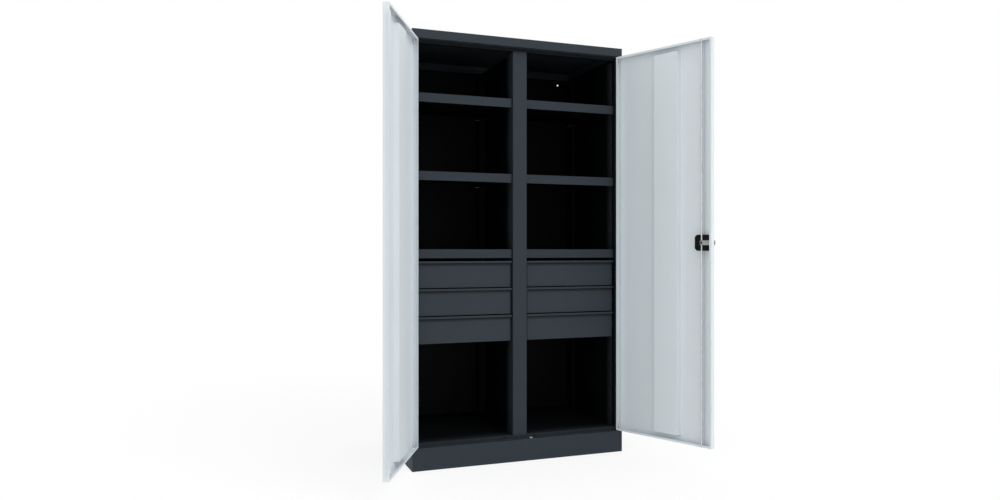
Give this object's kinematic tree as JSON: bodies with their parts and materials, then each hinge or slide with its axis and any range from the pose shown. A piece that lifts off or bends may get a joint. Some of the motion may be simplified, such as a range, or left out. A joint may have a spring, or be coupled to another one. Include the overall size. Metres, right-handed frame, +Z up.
{
  "type": "storage cabinet",
  "caption": "Tall heavy-duty steel storage cabinet with hinged double doors, a centre post, hanging shelves, sliding drawers and a rod lock worked by an outside handle.",
  "frame": {"origin": "on the floor, under the middle of the cabinet's body", "axes": "+X to the right seen from the front, +Y from the front to the back, +Z up"},
  "size_m": [1.4919, 1.0716, 1.95],
  "materials": {
    "body_paint": "anthracite powder coat",
    "drawer_paint": "anthracite powder coat",
    "door_paint": "light grey powder coat",
    "zinc_steel": "zinc-plated steel",
    "black_plastic": "moulded black",
    "black_steel": "blackened steel",
    "satin_chrome": "satin plated"
  },
  "bodies": {
    "carcass": {"side_panel_left": "body_paint", "side_panel_right": "body_paint", "back_panel": "body_paint", "top_cap": "body_paint", "head_rail": "body_paint", "plinth_front": "body_paint", "plinth_rear": "body_paint", "floor_panel": "body_paint", "floor_bearer": "body_paint", "partition_panel": "body_paint", "front_post": "body_paint", "slotted_uprights": "body_paint", "shelf_left_low": "body_paint", "shelf_left_middle": "body_paint", "shelf_left_top": "body_paint", "shelf_right_low": "body_paint", "shelf_right_middle": "body_paint", "shelf_right_top": "body_paint", "shelf_clips": "zinc_steel", "slide_rails": "zinc_steel", "hinge_pins": "zinc_steel", "thrust_washers": "black_plastic"},
    "door_left": {"door_pan_left": "door_paint", "door_stiffener_left": "door_paint", "door_bushes_left": "zinc_steel", "closing_strip": "door_paint"},
    "door_right": {"door_pan_right": "door_paint", "door_stiffener_right": "door_paint", "door_bushes_right": "zinc_steel", "lock_case": "black_plastic", "lock_cover": "black_plastic", "lock_bridge": "zinc_steel", "lock_screws": "black_steel", "escutcheon": "black_plastic"},
    "drawer_left_top": {"drawer_front_left_top": "drawer_paint", "drawer_tray_left_top": "drawer_paint", "drawer_runners_left_top": "zinc_steel"},
    "drawer_left_middle": {"drawer_front_left_middle": "drawer_paint", "drawer_tray_left_middle": "drawer_paint", "drawer_runners_left_middle": "zinc_steel"},
    "drawer_left_low": {"drawer_front_left_low": "drawer_paint", "drawer_tray_left_low": "drawer_paint", "drawer_runners_left_low": "zinc_steel"},
    "drawer_right_top": {"drawer_front_right_top": "drawer_paint", "drawer_tray_right_top": "drawer_paint", "drawer_runners_right_top": "zinc_steel"},
    "drawer_right_middle": {"drawer_front_right_middle": "drawer_paint", "drawer_tray_right_middle": "drawer_paint", "drawer_runners_right_middle": "zinc_steel"},
    "drawer_right_low": {"drawer_front_right_low": "drawer_paint", "drawer_tray_right_low": "drawer_paint", "drawer_runners_right_low": "zinc_steel"},
    "handle": {"handle_grip": "satin_chrome", "handle_spindle": "black_steel", "lock_cam": "zinc_steel"},
    "key_plug": {"key_plug": "satin_chrome"},
    "rod_top": {"rod_top": "zinc_steel"},
    "rod_bottom": {"rod_bottom": "zinc_steel"}
  },
  "joints": [
    {"name": "door_left_swing", "type": "hinge", "parent": "carcass", "child": "door_left", "pos_m": [-0.511, -0.2935, 1.006], "axis": [0, 0, -1], "range_deg": [-116.5, 3.5]},
    {"name": "door_right_swing", "type": "hinge", "parent": "carcass", "child": "door_right", "pos_m": [0.511, -0.2935, 1.006], "axis": [0, 0, 1], "range_deg": [-114, 6]},
    {"name": "drawer_left_top_slide", "type": "slide", "parent": "carcass", "child": "drawer_left_top", "axis": [0, -1, 0], "range_m": [0, 0.38]},
    {"name": "drawer_left_middle_slide", "type": "slide", "parent": "carcass", "child": "drawer_left_middle", "axis": [0, -1, 0], "range_m": [0, 0.38]},
    {"name": "drawer_left_low_slide", "type": "slide", "parent": "carcass", "child": "drawer_left_low", "axis": [0, -1, 0], "range_m": [0, 0.38]},
    {"name": "drawer_right_top_slide", "type": "slide", "parent": "carcass", "child": "drawer_right_top", "axis": [0, -1, 0], "range_m": [0, 0.38]},
    {"name": "drawer_right_middle_slide", "type": "slide", "parent": "carcass", "child": "drawer_right_middle", "axis": [0, -1, 0], "range_m": [0, 0.38]},
    {"name": "drawer_right_low_slide", "type": "slide", "parent": "carcass", "child": "drawer_right_low", "axis": [0, -1, 0], "range_m": [0, 0.38]},
    {"name": "rod_top_slide", "type": "slide", "parent": "door_right", "child": "rod_top", "axis": [0, 0, 1], "range_m": [0, 0.015]},
    {"name": "rod_bottom_slide", "type": "slide", "parent": "door_right", "child": "rod_bottom", "axis": [0, 0, -1], "range_m": [0, 0.015]},
    {"name": "handle_turn", "type": "hinge", "parent": "door_right", "child": "handle", "pos_m": [0.6979, -0.71327, 1.007], "axis": [0.9135, 0.4067, 0], "range_deg": [0, 90]},
    {"name": "key_turn", "type": "hinge", "parent": "handle", "child": "key_plug", "pos_m": [0.6979, -0.71327, 1.007], "axis": [0.9135, 0.4067, 0], "range_deg": [0, 90]}
  ],
  "couplings": [
    {"joint": "rod_bottom_slide", "follows": "rod_top_slide", "ratio": 1},
    {"joint": "handle_turn", "follows": "rod_top_slide", "rad_per_m": 104.7}
  ]
}
